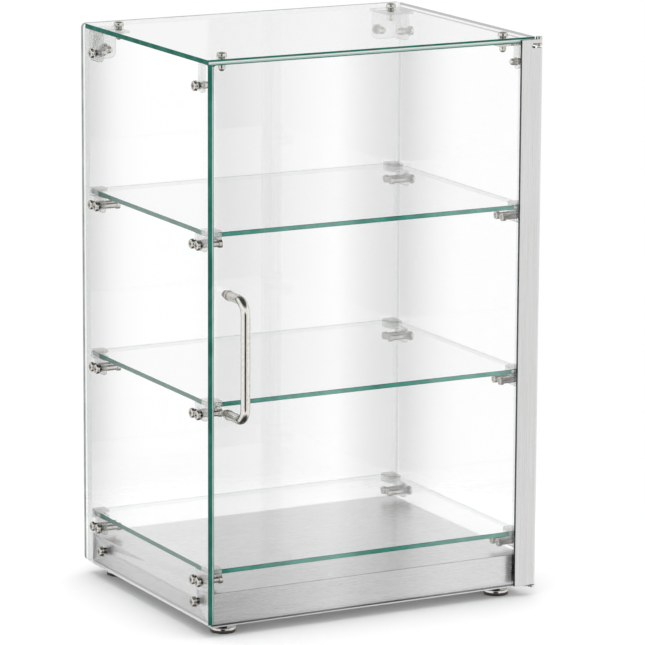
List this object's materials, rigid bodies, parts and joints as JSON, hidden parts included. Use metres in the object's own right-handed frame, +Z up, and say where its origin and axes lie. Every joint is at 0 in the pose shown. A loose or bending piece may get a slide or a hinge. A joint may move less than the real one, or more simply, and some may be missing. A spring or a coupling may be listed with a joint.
{
  "type": "countertop glass display case",
  "caption": "Frameless countertop glass display case with clipped glass shelves, a brushed steel base on feet and a side hung glass door with a steel stile and a bar handle.",
  "frame": {"origin": "bottom centre of the object's box, on the surface that its feet stand on, door closed", "axes": "+Z up, +X to the right as seen by someone facing the door, +Y from the door to the back pane"},
  "size_m": [0.4034, 0.3564, 0.6224],
  "materials": {
    "glass": "clear float glass with polished green edges",
    "clear_plastic": "clear moulded polycarbonate",
    "base_steel": "grained along X",
    "stile_steel": "grained along Z",
    "handle_steel": "satin",
    "bright_hardware": "bright nickel plate",
    "black_hardware": "black oxide",
    "foot_rubber": "matt",
    "nylon": "natural nylon"
  },
  "bodies": {
    "cabinet": {"base_tray": "base_steel", "base_bottom_plate": "base_steel", "base_side_screws": "bright_hardware", "base_side_washers": "bright_hardware", "base_rear_screws": "bright_hardware", "base_rivet_nuts": "bright_hardware", "back_screw_washers": "nylon", "left_side_glass": "glass", "right_side_glass": "glass", "back_glass": "glass", "top_glass": "glass", "upper_shelf_glass": "glass", "middle_shelf_glass": "glass", "lower_shelf_glass": "glass", "upper_front_left_clip": "clear_plastic", "upper_front_right_clip": "clear_plastic", "upper_rear_left_clip": "clear_plastic", "upper_rear_right_clip": "clear_plastic", "middle_front_left_clip": "clear_plastic", "middle_front_right_clip": "clear_plastic", "middle_rear_left_clip": "clear_plastic", "middle_rear_right_clip": "clear_plastic", "lower_front_left_clip": "clear_plastic", "lower_front_right_clip": "clear_plastic", "lower_rear_left_clip": "clear_plastic", "lower_rear_right_clip": "clear_plastic", "upper_clip_screws": "bright_hardware", "middle_clip_screws": "bright_hardware", "lower_clip_screws": "bright_hardware", "upper_clip_barrels": "bright_hardware", "middle_clip_barrels": "bright_hardware", "lower_clip_barrels": "bright_hardware", "front_left_connector": "clear_plastic", "front_right_connector": "clear_plastic", "rear_left_connector": "clear_plastic", "rear_right_connector": "clear_plastic", "top_corner_screws": "bright_hardware", "top_corner_washers": "nylon", "top_corner_nuts": "bright_hardware", "side_corner_screws": "bright_hardware", "side_corner_washers": "nylon", "side_corner_nuts": "bright_hardware", "back_corner_screws": "bright_hardware", "back_corner_nuts": "bright_hardware", "top_pivot_leaf": "base_steel", "bottom_pivot_pin": "bright_hardware", "bottom_pivot_washer": "nylon", "foot_pads": "foot_rubber", "foot_discs": "bright_hardware", "foot_studs": "black_hardware", "foot_nuts": "bright_hardware"},
    "door": {"door_glass": "glass", "hinge_stile": "stile_steel", "stile_bond_strip": "black_hardware", "top_pivot_screw": "bright_hardware", "handle_bar": "handle_steel", "handle_collars": "bright_hardware", "handle_screws": "bright_hardware", "handle_washers": "nylon"}
  },
  "joints": [
    {"name": "door_hinge", "type": "hinge", "parent": "cabinet", "child": "door", "pos_m": [0.1979, -0.1334, 0.3135], "axis": [0, 0, 1], "range_deg": [0, 180]}
  ]
}
